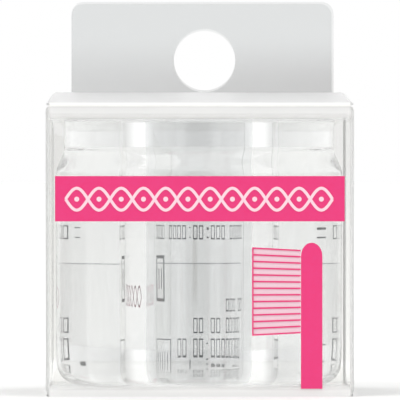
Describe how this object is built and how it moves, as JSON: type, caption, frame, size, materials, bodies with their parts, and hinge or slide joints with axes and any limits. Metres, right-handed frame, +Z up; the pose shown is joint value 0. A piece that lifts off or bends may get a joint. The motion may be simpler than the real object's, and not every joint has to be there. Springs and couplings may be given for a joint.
{
  "type": "toothbrush stand in a hanging box",
  "caption": "Clear round stand for one toothbrush, standing in a clear folded box with creased lid, bottom and flaps and a round-holed hanging tab.",
  "frame": {"origin": "on the ground under the middle of the box", "axes": "+Z up; the printed front wall faces -Y and the hanging tab stands at +Y"},
  "size_m": [0.037, 0.0373, 0.0477],
  "materials": {
    "clear_moulding": "clear polished acrylic",
    "clear_sheet": "clear glossy polyester sheet",
    "pink_ink": "printed pink ink",
    "pale_ink": "thin pale pink ink",
    "label_film": "clear sticker film with small grey print"
  },
  "bodies": {
    "sleeve": {"front_panel": "clear_sheet", "back_panel": "clear_sheet", "left_panel": "clear_sheet", "right_panel": "clear_sheet", "glue_flap": "clear_sheet", "hang_tab_front_ply": "clear_sheet", "title_strip": "pink_ink", "brush_handle_print": "pink_ink", "bristle_lines_print": "pink_ink", "bristle_tint_print": "pale_ink", "back_label": "label_film"},
    "stand": {"stand_body": "clear_moulding"},
    "lid": {"lid_panel": "clear_sheet"},
    "lid_tuck": {"lid_tuck_flap": "clear_sheet"},
    "top_left_dust": {"top_left_dust_flap": "clear_sheet"},
    "top_right_dust": {"top_right_dust_flap": "clear_sheet"},
    "bottom": {"bottom_panel": "clear_sheet"},
    "bottom_tuck": {"bottom_tuck_flap": "clear_sheet"},
    "bottom_left_dust": {"bottom_left_dust_flap": "clear_sheet"},
    "bottom_right_dust": {"bottom_right_dust_flap": "clear_sheet"}
  },
  "joints": [
    {"name": "stand_lift", "type": "slide", "parent": "sleeve", "child": "stand", "axis": [0, 0, 1], "range_m": [0, 0.001]},
    {"name": "lid_crease", "type": "hinge", "parent": "sleeve", "child": "lid", "pos_m": [0, -0.0185, 0.03489], "axis": [1, 0, 0], "range_deg": [0, 135]},
    {"name": "lid_tuck_crease", "type": "hinge", "parent": "lid", "child": "lid_tuck", "pos_m": [0, 0.01765, 0.03625], "axis": [1, 0, 0], "range_deg": [0, 54]},
    {"name": "top_left_dust_crease", "type": "hinge", "parent": "sleeve", "child": "top_left_dust", "pos_m": [-0.0185, 0, 0.03444], "axis": [0, 1, 0], "range_deg": [-90, 0]},
    {"name": "top_right_dust_crease", "type": "hinge", "parent": "sleeve", "child": "top_right_dust", "pos_m": [0.0185, 0, 0.03444], "axis": [0, 1, 0], "range_deg": [0, 90]},
    {"name": "bottom_crease", "type": "hinge", "parent": "sleeve", "child": "bottom", "pos_m": [0, 0.0185, 0.00036], "axis": [1, 0, 0], "range_deg": [0, 135]},
    {"name": "bottom_tuck_crease", "type": "hinge", "parent": "bottom", "child": "bottom_tuck", "pos_m": [0, -0.01805, 0.0003], "axis": [1, 0, 0], "range_deg": [0, 54]},
    {"name": "bottom_left_dust_crease", "type": "hinge", "parent": "sleeve", "child": "bottom_left_dust", "pos_m": [-0.0185, 0, 0.00081], "axis": [0, 1, 0], "range_deg": [0, 90]},
    {"name": "bottom_right_dust_crease", "type": "hinge", "parent": "sleeve", "child": "bottom_right_dust", "pos_m": [0.0185, 0, 0.00081], "axis": [0, 1, 0], "range_deg": [-90, 0]}
  ],
  "couplings": [
    {"joint": "lid_tuck_crease", "follows": "lid_crease", "ratio": 0.4},
    {"joint": "top_left_dust_crease", "follows": "lid_crease", "ratio": -0.66667},
    {"joint": "top_right_dust_crease", "follows": "lid_crease", "ratio": 0.66667},
    {"joint": "bottom_tuck_crease", "follows": "bottom_crease", "ratio": 0.4},
    {"joint": "bottom_left_dust_crease", "follows": "bottom_crease", "ratio": 0.66667},
    {"joint": "bottom_right_dust_crease", "follows": "bottom_crease", "ratio": -0.66667}
  ]
}
